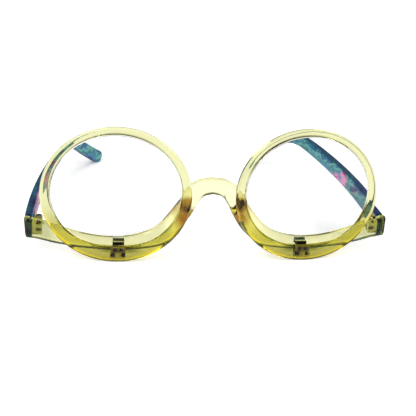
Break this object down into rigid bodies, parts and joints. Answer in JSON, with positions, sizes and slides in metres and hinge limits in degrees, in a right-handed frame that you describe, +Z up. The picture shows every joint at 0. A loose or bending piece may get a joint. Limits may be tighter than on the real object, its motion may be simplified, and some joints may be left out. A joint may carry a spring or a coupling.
{
  "type": "flip-down makeup glasses",
  "caption": "Clear plastic makeup glasses: a front with half rims, round magnifying lens rims that each hinge forward and down, and patterned temples that fold.",
  "frame": {"origin": "under the middle of the glasses, on the table they stand on", "axes": "+X towards the wearer's left, +Y from the front towards the ears, +Z up"},
  "size_m": [0.145, 0.1212, 0.0524],
  "materials": {
    "front_plastic": "polished, see-through",
    "rim_plastic": "polished, see-through",
    "lens_clear": "polished, clear",
    "flip_metal": "plated, satin",
    "hinge_metal": "plated, polished",
    "screw_metal": "plated",
    "temple_plastic": "polished, mottled pattern"
  },
  "bodies": {
    "front": {"front_frame": "front_plastic", "flip_leaf_left": "flip_metal", "flip_leaf_right": "flip_metal", "flip_screw_left": "screw_metal", "flip_screw_right": "screw_metal", "hinge_leaf_left": "hinge_metal", "hinge_leaf_right": "hinge_metal", "hinge_screw_left": "screw_metal", "hinge_screw_right": "screw_metal"},
    "flip_left": {"flip_rim_left": "rim_plastic", "lens_left": "lens_clear", "flip_tongue_left": "flip_metal"},
    "flip_right": {"flip_rim_right": "rim_plastic", "lens_right": "lens_clear", "flip_tongue_right": "flip_metal"},
    "temple_left": {"temple_left": "temple_plastic", "hinge_tongue_left": "hinge_metal"},
    "temple_right": {"temple_right": "temple_plastic", "hinge_tongue_right": "hinge_metal"}
  },
  "joints": [
    {"name": "left_lens_flip", "type": "hinge", "parent": "front", "child": "flip_left", "pos_m": [0.03636, -0.05627, 0.00197], "axis": [0.9962, 0.0867, -0.0091], "range_deg": [0, 110]},
    {"name": "right_lens_flip", "type": "hinge", "parent": "front", "child": "flip_right", "pos_m": [-0.03636, -0.05627, 0.00197], "axis": [0.9962, -0.0867, 0.0091], "range_deg": [0, 110]},
    {"name": "left_temple_fold", "type": "hinge", "parent": "front", "child": "temple_left", "pos_m": [0.0669, -0.04634, 0.01128], "axis": [0, 0, 1], "range_deg": [0, 75]},
    {"name": "right_temple_fold", "type": "hinge", "parent": "front", "child": "temple_right", "pos_m": [-0.0669, -0.04634, 0.01128], "axis": [0, 0, -1], "range_deg": [0, 66]}
  ]
}
